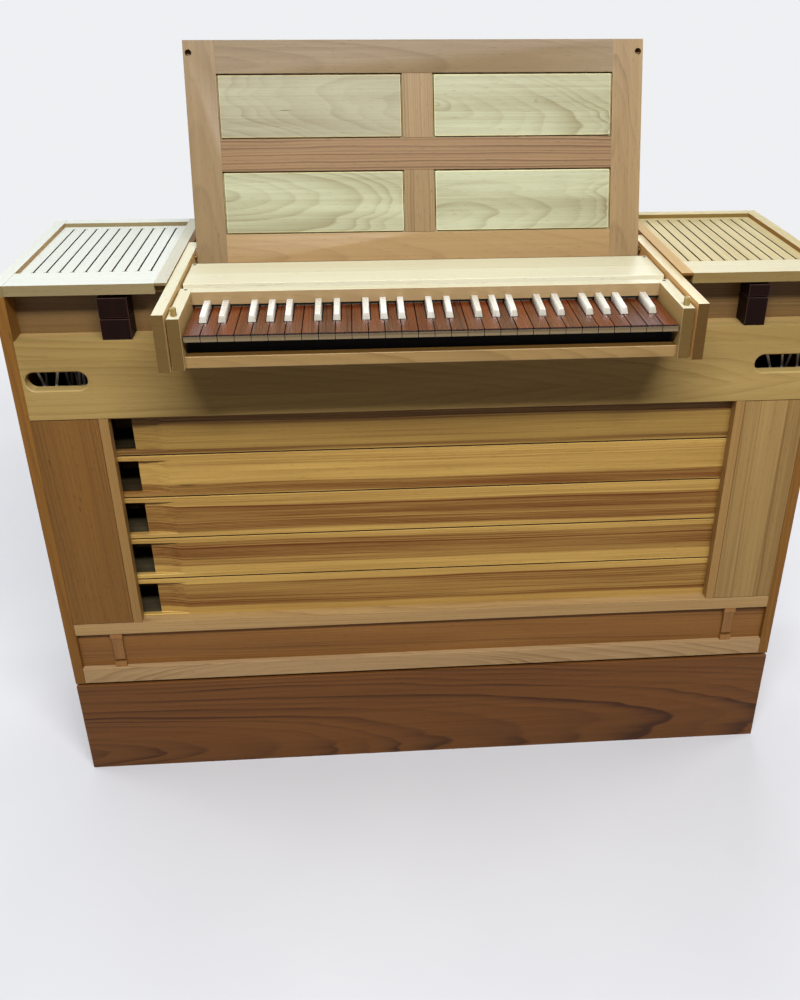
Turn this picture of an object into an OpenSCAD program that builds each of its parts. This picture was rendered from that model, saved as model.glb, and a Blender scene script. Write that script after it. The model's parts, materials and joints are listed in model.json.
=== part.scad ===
// Chest organ: a low wooden case on a plinth, with five stopped wooden pipes lying
// across its open front, two slatted lids, and a keyboard that stands out in front.
// The keyboard lid stands open behind the keys and serves as the music desk.
// X runs to the right, Y to the back and Z up. The origin is at the middle of the
// plinth's underside, halfway through the depth of the case.

/* [Case] */
// Width over the side boards
case_w = 1298; // [1280:1:1400]
// Depth from the front face to the back face
case_d = 405; // [400:1:460]
// Thickness of the side boards and the back
side_t = 18; // [15:1:22]
// Thickness of the front boards
front_t = 20; // [16:1:24]
// Thickness of the inner boards, plinth boards and floors
board_t = 18; // [12:1:20]
// Height of the plinth
plinth_h = 197.5; // [150:0.5:260]
// Height of the shadow gap between plinth and case
seam_h = 6; // [3:0.5:10]
// Height of the bottom rail of the front
bottom_rail_h = 33; // [25:0.5:50]
// Height of the shallow recess above the bottom rail
recess_h = 73.5; // [60:0.5:90]
// How far the panel in the recess lies behind the front face
recess_depth = 10; // [7:0.5:14]
// Height of the rail above the recess
recess_rail_h = 24.5; // [19:0.5:32]
// Width of the stiles beside the pipes
stile_w = 120; // [90:1:160]
// Width of the paler strip along a stile's inner edge
stile_strip_w = 15; // [8:0.5:25]
// Height of the board over the pipes
fascia_h = 130; // [110:1:150]
// Height of the niches above that board
niche_h = 70.5; // [70:0.5:85]
// Depth of the niches
niche_depth = 40; // [34:1:60]
// Thickness of the back wall of a niche
niche_back_t = 12; // [8:1:16]
// Height of the inner cover behind the keyboard above the shelf
centre_h = 42; // [35:1:48]
// Width of the rails of the back's frame
back_rail_w = 60; // [40:1:80]
// Thickness of the panels in the back
back_panel_t = 8; // [5:1:10]
// Depth of the grooves that hold a panel
groove_d = 6; // [4:0.5:8]

/* [Oval openings] */
// Length of an oval
oval_l = 95; // [70:1:120]
// Height of an oval
oval_h = 30; // [20:1:40]
// Distance from an oval's outer end to the side board
oval_inset = 4.5; // [3:0.5:30]
// Width of the bevel round an oval
oval_bevel = 2; // [0.5:0.5:4]

/* [Pipes] */
// Height of the uppermost pipe
pipe_h_top = 76; // [60:1:78]
// How much higher each pipe is than the one above it
pipe_h_step = 2; // [0:0.5:3]
// Depth of a pipe from front to back
pipe_d = 104; // [80:1:140]
// Thickness of a pipe's boards
pipe_wall = 9; // [6:0.5:12]
// Space between a pipe's end and the side board
pipe_end_gap = 9; // [5:1:30]
// Gap between two pipes
pipe_gap = 0.4; // [0.2:0.1:0.9]
// How far a mouth shows beyond the stile
mouth_l = 30; // [20:1:40]
// Length of the scooped lip
lip_l = 52; // [40:1:70]
// Thickness of the lip at its edge
lip_edge = 1.5; // [1:0.5:3]
// How far a mouth runs on behind the stile
mouth_hidden = 18; // [10:1:30]
// Thickness of the stopper at a pipe's far end
stopper_t = 24; // [15:1:40]

/* [Wind tubes] */
// Outer diameter of a wind tube
tube_dia = 5; // [3:0.5:6]
// Distance from the board with the ovals back to the first row of tubes
tube_setback = 22; // [10:1:40]
// Distance between two rows of tubes
tube_row = 16; // [12:1:24]

/* [Slatted lids] */
// Thickness of a slatted lid's frame
grille_t = 16.5; // [14:0.5:22]
// Width of the frame's front rail
grille_front_w = 65; // [40:1:80]
// Width of the frame's back rail
grille_back_w = 23; // [18:1:40]
// Width of the frame's side rails
grille_side_w = 18.5; // [15:0.5:25]
// How far the slatted panel lies below the frame
grille_sink = 7; // [4:0.5:9]
// Thickness of the slatted panel
grille_panel_t = 7; // [4:0.5:8]
// Number of slots in a slatted panel
slot_count = 10; // [6:1:12]
// Width of a slot
slot_w = 2.6; // [1.5:0.1:4]
// Length of the cross cut at each end of a slot
slot_tee = 8; // [5:0.5:12]
// Width of that cross cut
slot_tee_w = 1.8; // [1:0.1:3]
// Solid border in front of the slots
slot_front = 26; // [15:1:40]
// Solid border behind the slots
slot_back = 16; // [10:1:40]

/* [Keyboard] */
// Width of seven natural keys
octave_w = 165; // [160:0.5:167]
// Number of natural keys, beginning at C
natural_count = 30; // [22:1:30]
// Height of the key tops above the shelf
key_top = 51.4; // [45:0.1:55]
// Thickness of a natural key
key_t = 10.6; // [8:0.1:14]
// How far the keys stand out in front of the case
key_reach = 134.2; // [120:0.1:140]
// Length of the natural keys that shows in front of the name board
key_show = 121; // [110:1:126]
// Length of a key behind the face of the name board
key_tail = 70; // [50:1:90]
// Gap between two keys
key_gap = 1; // [0.6:0.1:1.5]
// Thickness of the plate on a natural key
key_plate_t = 2.6; // [1.5:0.1:4]
// How far that plate stands out over the key's front
key_nose = 0.6; // [0.2:0.1:1.5]
// Thickness of the strip on the front of a natural key
key_front_t = 2; // [1:0.5:4]
// Width of a sharp at its foot
sharp_w = 11.5; // [10:0.1:13]
// Width of a sharp's top at the name board
sharp_top_w = 9.3; // [8:0.1:10]
// Width of a sharp's top towards the player
sharp_nose_w = 7.4; // [6:0.1:9]
// Height of a sharp above the naturals at the name board
sharp_h = 12.3; // [10:0.1:13]
// Height of a sharp above the naturals towards the player
sharp_nose_h = 9.8; // [8:0.1:12]
// Length of a sharp that shows
sharp_l = 70; // [60:1:80]
// Slope of a sharp's front, measured along the key
sharp_slope = 3.5; // [2:0.5:10]
// Thickness of the cheeks beside the keys
cheek_t = 17.5; // [14:0.5:20]
// Height of the cheeks above the shelf
cheek_h = 76.3; // [74:0.1:80]
// How far the cheeks stand out in front of the case
cheek_reach = 137; // [137:0.5:142]
// Gap between keys and cheek
cheek_gap = 2; // [1:0.5:4]
// Thickness of the key frame's board
frame_t = 14; // [10:0.5:18]
// Width of the two rails that carry the keys
key_rail_w = 40; // [25:1:42]
// Distance from the key slip back to the front one
key_rail_in = 12; // [8:1:20]
// Height of the key slip
slip_h = 18; // [12:0.5:20]
// Thickness of the key slip
slip_t = 16; // [10:1:20]
// How far the key slip stands out in front of the case
slip_reach = 128; // [120:0.5:132]
// Thickness of the name board
name_t = 19.5; // [15:0.5:24]
// Gap between the keys and the foot of the name board
name_foot = 5; // [2:0.1:6]
// Width of the slot between name board and cover board
cover_gap = 23; // [15:1:30]
// Depth of the cover board
cover_d = 112; // [100:1:116]
// Thickness of the cover board
cover_t = 18; // [12:0.5:20]
// Diameter of the locating pegs
peg_dia = 9; // [6:0.5:10]
// Height of the locating pegs
peg_h = 12; // [8:0.5:13]
// Distance from the case's front face to the pegs
peg_reach = 123; // [115:0.5:128]
// Play round a peg in its hole in the lid
peg_play = 0.8; // [0.3:0.1:1.5]

/* [Brackets] */
// Thickness of the brackets
bracket_t = 16; // [14:0.5:18]
// Height of the brackets above the shelf
bracket_h = 84; // [80:0.5:90]
// How far the brackets stand out in front of the case
bracket_reach = 142.5; // [142.5:0.5:150]
// How far the brackets run back behind the front face
bracket_back = 247.5; // [240:0.5:255]
// Gap between a cheek and its bracket
bracket_gap = 2.5; // [1:0.5:4]

/* [Keyboard lid] */
// Height of the lid, measured along it
lid_h = 349; // [340:1:360]
// Thickness of the lid
lid_t = 16; // [15:0.5:18]
// Width of the lid's stiles and rails
lid_rail_w = 50; // [40:1:60]
// Side play between the lid and the brackets
lid_play = 3; // [2.5:0.1:5]
// How far the open lid leans back, in degrees
lid_lean = 16.2; // [12:0.1:20]
// Distance from the lid's foot to the front face of the case
lid_foot_y = 191; // [186:0.5:196]
// Height of the pivot above the lid's foot, measured along the lid
pivot_up = 15; // [12:0.5:18]
// Distance from the pivot forward to the lid's front face
pivot_off = 3.3; // [2:0.1:5]
// Diameter of the pivot pins
pivot_dia = 6; // [4:0.5:8]
// Depth of the pivot bores in the brackets
pivot_depth = 10; // [6:0.5:12]
// Thickness of the pivot plates
pivot_plate_t = 2; // [1.5:0.1:2.4]
// Gap round a panel of the lid
panel_gap = 1.6; // [1:0.1:3]
// How far the panels lie behind the lid's face
panel_sink = 1.2; // [0.5:0.1:2]
// Thickness of the tongue that holds a panel
panel_tongue = 6; // [4:0.5:7]
// Distance from the lid's face to that tongue
tongue_in = 6; // [4:0.5:7]

/* [Stop blocks] */
// Width of a left stop block
stop_left_w = 44.5; // [35:0.5:55]
// Height of a left stop block
stop_left_h = 31.8; // [28:0.1:32.5]
// Place of the left stop blocks across their niche, as a share of its width from the bracket
stop_left_place = 0.352; // [0.2:0.001:0.7]
// Width of a right stop block
stop_right_w = 33; // [25:0.5:40]
// Height of the lower right stop block
stop_right_low_h = 44.8; // [40:0.1:46]
// Height of the upper right stop block
stop_right_up_h = 19.8; // [15:0.1:20.5]
// Place of the right stop blocks across their niche, as a share of its width from the bracket
stop_right_place = 0.534; // [0.2:0.001:0.7]
// Travel of a stop block
stop_travel = 20; // [10:1:24]
// Gap under and between the stop blocks
stop_gap = 1; // [0.6:0.1:1.5]
// Width of the stem behind a stop block
stem_w = 12; // [8:1:14]
// Height of the stem behind a stop block
stem_h = 10; // [6:1:12]
// How far a stem stands out behind the niche
stem_past = 12; // [6:1:20]

/* [Hidden] */
$fn = 64;
snug = 0.3;

// Heights of the case, from the floor up
case_z = plinth_h + seam_h;
recess_z = case_z + bottom_rail_h;
rail_z = recess_z + recess_h;
field_z = rail_z + recess_rail_h;
pipes_z = rail_z + board_t;
pipe_heights = [for (i = [0:4]) pipe_h_top + pipe_h_step * i];
function sum_to(v, n) = n == 0 ? 0 : v[n - 1] + sum_to(v, n - 1);
field_top = pipes_z + sum_to(pipe_heights, 5);
shelf_z = field_top + fascia_h;
case_top = shelf_z + niche_h;

// Planes across the depth, measured from the front face
front = -case_d / 2;
back = case_d / 2;
in_w = case_w - 2 * side_t;
back_y = back - side_t;

// Keyboard
key_pitch = octave_w / 7;
keys_w = natural_count * key_pitch;
cheek_in = keys_w / 2 + cheek_gap;
cheek_out = cheek_in + cheek_t;
bracket_in = cheek_out + bracket_gap;
bracket_out = bracket_in + bracket_t;
key_z = shelf_z + key_top;
cheek_z = shelf_z + cheek_h;
name_y = front - key_reach + key_show;
name_back = name_y + name_t;
cover_y = name_back + cover_gap;
cover_z = cheek_z - cover_t;
peg_x = cheek_in + cheek_t / 2;
peg_y = front - peg_reach;

// Keyboard lid, open; its pivot is where the closed lid lies on the cheeks
lid_w = 2 * (bracket_in - lid_play);
lid_foot = front + lid_foot_y;
pivot_z = cheek_z + snug - pivot_off;
lid_foot_z = pivot_z - pivot_up * cos(lid_lean) - pivot_off * sin(lid_lean);
pivot_y = lid_foot + pivot_up * sin(lid_lean) - pivot_off * cos(lid_lean);
panel_w = (lid_w - 3 * lid_rail_w) / 2;
panel_h = (lid_h - 3 * lid_rail_w) / 2;
peg_hole_up = pivot_y + pivot_up - peg_y;

// A panel's edge runs in its groove with a little play
tongue_d = groove_d - 0.5;

// Slatted lids
grille_in = bracket_out + snug;
grille_w = case_w / 2 - grille_in;
grille_open_w = grille_w - 2 * grille_side_w;
grille_open_d = case_d - grille_front_w - grille_back_w;
slot_pitch = grille_open_w / (slot_count + 1);

module block(x0, x1, y0, y1, z0, z1) {
    translate([x0, y0, z0]) cube([x1 - x0, y1 - y0, z1 - z0]);
}

// A board centred on X, from one depth and height to another
module span(w, y0, y1, z0, z1) {
    block(-w / 2, w / 2, y0, y1, z0, z1);
}

// The same piece on the left or the right: drawn on the right, mirrored for side -1
module on_side(side) {
    if (side > 0) children();
    else mirror([1, 0, 0]) children();
}

// Plinth

module plinth_front() {
    color("saddlebrown") span(case_w, front, front + board_t, 0, plinth_h);
}

module plinth_back() {
    color("saddlebrown") span(case_w, back - board_t, back, 0, plinth_h);
}

module plinth_side(side) {
    color("saddlebrown") on_side(side)
        block(case_w / 2 - board_t, case_w / 2, front + board_t, back - board_t, 0, plinth_h);
}

module plinth_board(z0) {
    span(case_w - 2 * board_t, front + board_t, back - board_t, z0, z0 + board_t);
}

module plinth_floor() {
    color("peru") plinth_board(0);
}

module plinth_top() {
    color("sienna") plinth_board(case_z - board_t);
}

// Case

module case_floor() {
    color("burlywood") span(in_w, front + front_t, back_y, case_z, case_z + board_t);
}

module case_side(side) {
    color("peru") on_side(side)
        block(case_w / 2 - side_t, case_w / 2, front, back, case_z, case_top);
}

back_h = case_top - case_z;
back_panel_w = (in_w - 3 * back_rail_w) / 2;
back_panel_h = back_h - 2 * back_rail_w;

module back_panel_places() {
    for (side = [-1, 1])
        translate([side * (back_panel_w + back_rail_w) / 2, back - side_t / 2, case_z + back_h / 2])
            children();
}

module back_frame() {
    color("peru") difference() {
        span(in_w, back_y, back, case_z, case_top);
        back_panel_places() {
            cube([back_panel_w, side_t + 2, back_panel_h], center = true);
            cube([back_panel_w + 2 * groove_d, back_panel_t + snug, back_panel_h + 2 * groove_d],
                center = true);
        }
    }
}

module back_panels() {
    color("burlywood") back_panel_places()
        cube([back_panel_w + 2 * tongue_d, back_panel_t, back_panel_h + 2 * tongue_d], center = true);
}

module bottom_rail() {
    color("burlywood") span(in_w, front, front + front_t, case_z, recess_z);
}

module recess_panel() {
    color("saddlebrown") span(in_w, front + recess_depth, front + front_t, recess_z, rail_z);
}

// The two wooden catches in the recess: width, thickness and height of each part
catch_lug = [21, 9, 10];
catch_grip = [19, 7, 10];
catch_foot = [20, 7, 12];
catch_x = in_w / 2 - 69;
catch_gap = 4;

module catch_part(size, z) {
    translate([-size[0] / 2, front + recess_depth - size[1], z]) cube(size);
}

// From the top down: the lug under the rail, the grip, the sliding body and its foot
module recess_catch() {
    grip_z = rail_z - catch_lug[2] - catch_grip[2];
    body_z = recess_z + catch_foot[2] + catch_gap;
    catch_part(catch_lug, rail_z - catch_lug[2]);
    catch_part(catch_grip, grip_z);
    catch_part([catch_grip[0] - 1, catch_grip[1] - 1, grip_z - body_z], body_z);
    catch_part(catch_foot, recess_z);
}

module recess_catches() {
    color("peru") for (side = [-1, 1]) translate([side * catch_x, 0, 0]) recess_catch();
}

module recess_rail() {
    color("burlywood") span(in_w, front, front + front_t, rail_z, field_z);
}

module pipe_shelf() {
    color("burlywood") span(in_w, front + front_t, back_y, rail_z, pipes_z);
}

module stile(side) {
    color("peru") on_side(side)
        block(in_w / 2 - stile_w + stile_strip_w, in_w / 2, front, front + front_t, field_z, field_top);
}

module stile_strips() {
    color("burlywood") for (side = [-1, 1]) on_side(side)
        block(in_w / 2 - stile_w, in_w / 2 - stile_w + stile_strip_w,
            front, front + front_t, field_z, field_top);
}

// A through opening with round ends, seen from the front, and its bevel
module oval_cut() {
    half = (oval_l - oval_h) / 2;
    translate([0, front_t / 2, 0]) cube([2 * half, front_t + 2, oval_h], center = true);
    for (s = [-1, 1]) translate([s * half, -1, 0])
        rotate([-90, 0, 0]) cylinder(d = oval_h, h = front_t + 2);
    for (s = [-1, 1]) translate([s * half, 0, 0])
        rotate([-90, 0, 0]) cylinder(r1 = oval_h / 2 + oval_bevel, r2 = oval_h / 2, h = oval_bevel);
    rotate([90, 0, 90]) linear_extrude(2 * half, center = true)
        polygon([[0, -oval_h / 2 - oval_bevel], [oval_bevel, -oval_h / 2],
            [oval_bevel, oval_h / 2], [0, oval_h / 2 + oval_bevel]]);
}

oval_x = in_w / 2 - oval_inset - oval_l / 2;

module fascia() {
    color("burlywood") difference() {
        span(in_w, front, front + front_t, field_top, shelf_z);
        for (side = [-1, 1])
            translate([side * oval_x, front, field_top + fascia_h / 2]) oval_cut();
    }
}

module chest_board() {
    color("burlywood") span(in_w, front + front_t, back_y, shelf_z - board_t, shelf_z);
}

// Pipes, lying on one another, with their mouths on the left

pipe_y = front + front_t;
pipe_x0 = -in_w / 2 + pipe_end_gap;
pipe_x1 = in_w / 2 - pipe_end_gap;
mouth_x0 = -in_w / 2 + stile_w - mouth_hidden;
lip_x = -in_w / 2 + stile_w + mouth_l;

// The opening of a mouth and, behind it, the scoop that thins the front board to the lip
module mouth_cut(h) {
    depth = pipe_wall - lip_edge;
    radius = (lip_l * lip_l + depth * depth) / (2 * depth);
    block(mouth_x0, lip_x, pipe_y - 1, pipe_y + pipe_wall + 1, -h / 2, h / 2);
    intersection() {
        translate([lip_x, pipe_y + depth - radius, -h / 2]) cylinder(r = radius, h = h, $fn = 180);
        block(lip_x - 1, lip_x + lip_l + 1, pipe_y - 1, pipe_y + pipe_wall, -h / 2, h / 2);
    }
}

module pipe(i) {
    z0 = pipes_z + sum_to(pipe_heights, 5) - sum_to(pipe_heights, i);
    h = pipe_heights[i - 1] - pipe_gap;
    inner = h - 2 * pipe_wall;
    color("tan") translate([0, 0, z0 + h / 2]) difference() {
        block(pipe_x0, pipe_x1, pipe_y, pipe_y + pipe_d, -h / 2, h / 2);
        block(mouth_x0, pipe_x1 - stopper_t, pipe_y + pipe_wall, pipe_y + pipe_d - pipe_wall,
            -inner / 2, inner / 2);
        mouth_cut(inner);
    }
}

rack_x = in_w / 2 - 71;
rack_w = 30;

// Uprights behind the pipes that hold the stack against the stiles
module pipe_rack() {
    color("burlywood") for (side = [-1, 1]) translate([side * rack_x, 0, 0])
        block(-rack_w / 2, rack_w / 2, pipe_y + pipe_d, pipe_y + pipe_d + board_t,
            pipes_z, shelf_z - board_t);
}

// Wind tubes behind an oval: each is swept down from the chest board in a shallow S.
// For each tube: distance of its middle from the oval's, how far it swings inwards or
// outwards on its way down, and its row

tubes_at_left = [[36, -20, 0], [32, 5, 1], [10, 17, 0], [0, -8, 1],
    [-3.5, 2, 2], [-11, 0, 2], [-20.5, 5, 1], [-31, 4, 0]];
tubes_at_right = [[-8.6, 27, 0], [15.2, 8, 0], [35, -17, 1], [42, 6, 0]];
tube_sides = 8;
tube_rings = 10;
tube_h = shelf_z - board_t - field_top;

function swing_at(t) = -cos(180 * t) / 2;
function swing_slope(t) = PI * sin(180 * t) / 2;

// The ring of points round the tube's centre line at t, square to the line
function tube_ring(t, swing) =
    let (dx = swing * swing_slope(t), l = sqrt(dx * dx + tube_h * tube_h))
    [for (k = [0:tube_sides - 1]) let (a = 360 * k / tube_sides, r = tube_dia / 2)
        [swing * swing_at(t) + r * cos(a) * tube_h / l, r * sin(a), r * cos(a) * dx / l - t * tube_h]];

module wind_tube(swing) {
    n = tube_sides;
    points = [for (j = [0:tube_rings]) each tube_ring(j / tube_rings, swing)];
    walls = [for (j = [0:tube_rings - 1], k = [0:n - 1])
        [j * n + k, j * n + (k + 1) % n, (j + 1) * n + (k + 1) % n, (j + 1) * n + k]];
    top = [for (k = [n - 1:-1:0]) k];
    foot = [for (k = [0:n - 1]) tube_rings * n + k];
    polyhedron(points, concat(walls, [top, foot]), 4);
}

module tubes(side) {
    color("silver") on_side(side) for (t = side < 0 ? tubes_at_left : tubes_at_right)
        translate([oval_x + t[0], front + front_t + tube_setback + t[2] * tube_row, shelf_z - board_t])
            wind_tube(t[1]);
}

// Niches and the space between the slatted lids

niche_w = in_w / 2 - bracket_out;
stop_left_x = bracket_out + stop_left_place * niche_w;
stop_right_x = bracket_out + stop_right_place * niche_w;
stop_right_up_z = shelf_z + stop_right_low_h + 2 * stop_gap;
stop_left_up_z = shelf_z + stop_left_h + 2 * stop_gap;

module stem_slot(x, z) {
    translate([x + stop_travel / 2, 0, z])
        cube([stem_w + stop_travel + 2, 4 * niche_depth, stem_h + 1], center = true);
}

module niche_back(side) {
    color("tan") on_side(side) difference() {
        block(bracket_out, in_w / 2, front + niche_depth, front + niche_depth + niche_back_t,
            shelf_z, case_top);
        translate([0, front + niche_depth, 0]) {
            if (side < 0) {
                stem_slot(stop_left_x, shelf_z + stop_gap + stop_left_h / 2);
                stem_slot(stop_left_x, stop_left_up_z + stop_left_h / 2);
            } else {
                stem_slot(stop_right_x, shelf_z + stop_gap + stop_right_low_h / 2);
                stem_slot(stop_right_x, stop_right_up_z + stop_right_up_h / 2);
            }
        }
    }
}

centre_z = shelf_z + centre_h;

module partition(side) {
    color("burlywood") on_side(side)
        block(bracket_in, bracket_out, front + bracket_back, back_y, shelf_z, centre_z);
}

module centre_cover() {
    color("tan") span(2 * bracket_out, front + bracket_back, back_y, centre_z, centre_z + board_t);
}

// Slatted lids

module grille_frame(side) {
    color("wheat") on_side(side) difference() {
        block(grille_in, case_w / 2, front, back, case_top, case_top + grille_t);
        translate([grille_in + grille_side_w, front + grille_front_w, case_top - 1])
            cube([grille_open_w, grille_open_d, grille_t + 2]);
    }
}

module slot_cut() {
    l = grille_open_d - slot_front - slot_back;
    translate([-slot_w / 2, 0, -1]) cube([slot_w, l, grille_panel_t + 2]);
    for (y = [0, l - slot_tee_w])
        translate([-slot_tee / 2, y, -1]) cube([slot_tee, slot_tee_w, grille_panel_t + 2]);
}

module grille(side) {
    color("wheat") on_side(side)
        translate([grille_in + grille_side_w, front + grille_front_w,
            case_top + grille_t - grille_sink - grille_panel_t])
        difference() {
            cube([grille_open_w, grille_open_d, grille_panel_t]);
            for (i = [1:slot_count]) translate([i * slot_pitch, slot_front, 0]) slot_cut();
        }
}

// Brackets that carry the keyboard, with a bore for the lid's pivot

module bracket(side) {
    color("burlywood") on_side(side) difference() {
        block(bracket_in, bracket_out, front - bracket_reach, front + bracket_back,
            shelf_z, shelf_z + bracket_h);
        translate([bracket_in - 1, pivot_y, pivot_z]) rotate([0, 90, 0])
            cylinder(d = pivot_dia + 0.1, h = pivot_depth + 1);
    }
}

// Keyboard

module cheek(side) {
    color("burlywood") on_side(side)
        translate([cheek_in, 0, 0]) rotate([90, 0, 90]) linear_extrude(cheek_t)
            polygon([[front - cheek_reach, shelf_z], [cover_y + cover_d, shelf_z],
                [cover_y + cover_d, cover_z], [name_back, cover_z],
                [name_back, cheek_z], [front - cheek_reach, cheek_z]]);
}

module pegs() {
    color("olive") for (side = [-1, 1]) translate([side * peg_x, peg_y, cheek_z]) {
        cylinder(d = peg_dia, h = peg_h - 1);
        translate([0, 0, peg_h - 1]) cylinder(d1 = peg_dia, d2 = peg_dia - 2, h = 1);
    }
}

module key_frame() {
    rail_top = key_z - key_t;
    slip_back = front - slip_reach + slip_t;
    color("dimgray") {
        span(2 * cheek_in, slip_back, cover_y + cover_d, shelf_z, shelf_z + frame_t);
        for (y = [slip_back + key_rail_in, name_back])
            span(2 * cheek_in, y, y + key_rail_w, shelf_z + frame_t, rail_top);
    }
}

module key_slip() {
    color("burlywood")
        span(2 * cheek_in, front - slip_reach, front - slip_reach + slip_t, shelf_z, shelf_z + slip_h);
}

// Which naturals have a sharp on their right, and how far it is off the middle
function has_sharp(i) = i < natural_count - 1 && (i % 7 != 2) && (i % 7 != 6);
function sharp_off(i) = [-2, 2, 0, -2.5, 0, 2.5, 0][i % 7];
function key_x(i) = -keys_w / 2 + i * key_pitch;

sharp_y = name_y - sharp_l;

module sharp_room(i) {
    w = sharp_w + 2 * key_gap;
    translate([key_x(i + 1) + sharp_off(i) - w / 2, sharp_y - key_gap, key_z - key_t - 1])
        cube([w, sharp_l + key_tail + 10, key_t + 2]);
}

// A natural: its lever, and over it and its front the plate that the finger touches
module natural(i) {
    front_in = key_nose + key_front_t;
    difference() {
        translate([key_x(i) + key_gap / 2, front - key_reach, key_z]) {
            translate([0, front_in, -key_t])
                cube([key_pitch - key_gap, key_show + key_tail - front_in, key_t]);
            translate([0, 0, -key_plate_t])
                cube([key_pitch - key_gap, key_show + key_tail, key_plate_t]);
        }
        if (has_sharp(i)) sharp_room(i);
        if (i > 0 && has_sharp(i - 1)) sharp_room(i - 1);
    }
}

module naturals() {
    color("saddlebrown") for (i = [0:natural_count - 1]) natural(i);
}

module natural_fronts() {
    color("wheat") for (i = [0:natural_count - 1])
        translate([key_x(i) + key_gap / 2, front - key_reach + key_nose, key_z - key_t])
            cube([key_pitch - key_gap, key_front_t, key_t - key_plate_t]);
}

module sharp_places() {
    for (i = [0:natural_count - 2])
        if (has_sharp(i)) translate([key_x(i + 1) + sharp_off(i), sharp_y, key_z]) children();
}

// The levers of the sharps, between the naturals
module sharp_levers() {
    color("saddlebrown") sharp_places()
        translate([-sharp_w / 2, 0, -key_t]) cube([sharp_w, sharp_l + key_tail, key_t]);
}

// A sharp's block: four corners at its foot and four at its top, which is lower and
// narrower towards the player. Its sides wind a little, so each is two triangles.
module sharp() {
    l = sharp_l - key_gap;
    foot = [[-sharp_w / 2, 0, 0], [sharp_w / 2, 0, 0], [sharp_w / 2, l, 0], [-sharp_w / 2, l, 0]];
    top = [[-sharp_nose_w / 2, sharp_slope, sharp_nose_h], [sharp_nose_w / 2, sharp_slope, sharp_nose_h],
        [sharp_top_w / 2, l, sharp_h], [-sharp_top_w / 2, l, sharp_h]];
    ends = [[0, 1, 2, 3], [4, 7, 6, 5], [0, 4, 5, 1], [3, 2, 6, 7]];
    sides = [[1, 5, 6], [1, 6, 2], [0, 3, 7], [0, 7, 4]];
    polyhedron(concat(foot, top), concat(ends, sides), 2);
}

module sharps() {
    color("ivory") sharp_places() sharp();
}

module name_board() {
    color("peru") span(2 * cheek_in, name_y, name_back, key_z + name_foot, cheek_z);
}

module cover_board() {
    color("wheat") span(2 * cheek_out, cover_y, cover_y + cover_d, cover_z, cheek_z);
}

// Keyboard lid

module on_lid() {
    translate([0, lid_foot, lid_foot_z]) rotate([-lid_lean, 0, 0]) children();
}

// The batten that the foot of the open lid leans against: it reaches below and above the foot
rest_below = 8;
rest_above = 5;

module lid_rest() {
    y0 = cover_y + cover_d;
    z0 = lid_foot_z - rest_below;
    z1 = lid_foot_z + rest_above;
    lean = tan(lid_lean);
    face = lid_foot - snug / cos(lid_lean);
    color("burlywood") rotate([90, 0, 90]) linear_extrude(2 * bracket_in, center = true)
        polygon([[y0, z0], [face + (z0 - lid_foot_z) * lean, z0],
            [face + (z1 - lid_foot_z) * lean, z1], [y0, z1]]);
}

module panel_places() {
    for (side = [-1, 1], row = [0, 1])
        translate([side * (panel_w + lid_rail_w) / 2, 0,
            lid_rail_w + panel_h / 2 + row * (panel_h + lid_rail_w)])
            children();
}

module lid_frame() {
    color("tan") on_lid() difference() {
        translate([-lid_w / 2, 0, 0]) cube([lid_w, lid_t, lid_h]);
        panel_places() {
            translate([0, lid_t / 2, 0]) cube([panel_w, lid_t + 2, panel_h], center = true);
            translate([0, tongue_in + panel_tongue / 2, 0])
                cube([panel_w + 2 * groove_d, panel_tongue + snug, panel_h + 2 * groove_d],
                    center = true);
        }
        for (side = [-1, 1]) translate([side * peg_x, -1, peg_hole_up]) rotate([-90, 0, 0])
            cylinder(d = peg_dia + 2 * peg_play, h = peg_h + 2);
    }
}

// A fielded panel: its tongue runs in the frame's groove
module lid_panels() {
    color("wheat") on_lid() panel_places() {
        translate([0, tongue_in + panel_tongue / 2, 0])
            cube([panel_w + 2 * tongue_d, panel_tongue, panel_h + 2 * tongue_d], center = true);
        translate([-panel_w / 2 + panel_gap, panel_sink, -panel_h / 2 + panel_gap])
            cube([panel_w - 2 * panel_gap, tongue_in + 1 - panel_sink, panel_h - 2 * panel_gap]);
    }
}

// Pivot plates on the ends of the lid, each with the pin that turns in its bracket
module lid_pivots() {
    plate_r = pivot_dia / 2 + 2;
    color("darkgoldenrod") for (side = [-1, 1]) on_side(side) on_lid() {
        translate([lid_w / 2, -pivot_off, pivot_up]) rotate([0, 90, 0]) {
            cylinder(r = plate_r, h = pivot_plate_t);
            cylinder(d = pivot_dia, h = lid_play + pivot_depth - 0.5);
        }
        translate([lid_w / 2, -pivot_off, pivot_up - plate_r])
            cube([pivot_plate_t, pivot_off + lid_t * 0.7, 2 * plate_r]);
    }
}

// Stop blocks: a grip in the niche and a stem through the slot behind it

module stop_block(x, z0, w, h) {
    translate([x, 0, z0]) {
        block(-w / 2, w / 2, front, front + niche_depth - 0.5, 0, h);
        block(-stem_w / 2, stem_w / 2, front + niche_depth - 0.5,
            front + niche_depth + niche_back_t + stem_past, h / 2 - stem_h / 2, h / 2 + stem_h / 2);
    }
}

module stop_left_lower() {
    color("black") stop_block(-stop_left_x, shelf_z + stop_gap, stop_left_w, stop_left_h);
}

module stop_left_upper() {
    color("black") stop_block(-stop_left_x, stop_left_up_z, stop_left_w, stop_left_h);
}

module stop_right_lower() {
    color("black") stop_block(stop_right_x, shelf_z + stop_gap, stop_right_w, stop_right_low_h);
}

module stop_right_upper() {
    color("black") stop_block(stop_right_x, stop_right_up_z, stop_right_w, stop_right_up_h);
}

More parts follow.
